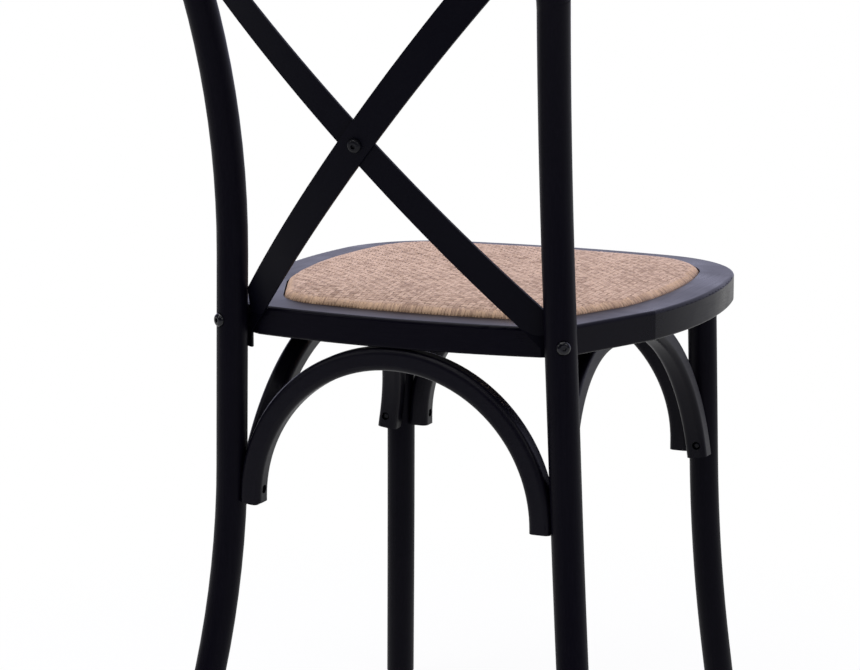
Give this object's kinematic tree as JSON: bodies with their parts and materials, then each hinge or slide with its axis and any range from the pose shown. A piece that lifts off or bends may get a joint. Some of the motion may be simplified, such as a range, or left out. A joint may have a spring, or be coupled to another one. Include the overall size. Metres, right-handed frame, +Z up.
{
  "type": "dining chair",
  "caption": "Cross-back dining chair with a bent wood hoop back, crossed flat metal bars, round splayed legs, arched braces and a woven drop-in seat pad.",
  "frame": {"origin": "on the floor, under the middle of the chair's overall box", "axes": "+X to the right of a person who stands before the chair and faces it, -Y out of the front of the seat, +Z up"},
  "size_m": [0.4304, 0.5594, 0.8671],
  "materials": {
    "black_wood": "satin black paint",
    "bare_wood": "bare",
    "foam": "matte",
    "woven_rattan": "fine natural weave",
    "black_metal": "satin black paint",
    "dark_steel": "black, half gloss",
    "glide_plastic": "matte"
  },
  "bodies": {
    "root": {"back_hoop": "black_wood", "front_leg_left": "black_wood", "front_leg_right": "black_wood", "seat_front_rail": "black_wood", "seat_rear_rail": "black_wood", "seat_side_rail_left": "black_wood", "seat_side_rail_right": "black_wood", "rail_dowels": "bare_wood", "seat_board": "bare_wood", "seat_foam": "foam", "woven_cover": "woven_rattan", "board_screws": "dark_steel", "arch_rear": "black_wood", "arch_front": "black_wood", "arch_left": "black_wood", "arch_right": "black_wood", "arch_end_screws": "dark_steel", "arch_top_screws": "dark_steel", "cross_bar_front": "black_metal", "cross_bar_rear": "black_metal", "cross_bolt": "dark_steel", "cross_cap_nut": "dark_steel", "bar_top_screws": "dark_steel", "post_bolts": "dark_steel", "barrel_nuts": "dark_steel", "foot_glides": "glide_plastic"}
  },
  "joints": []
}
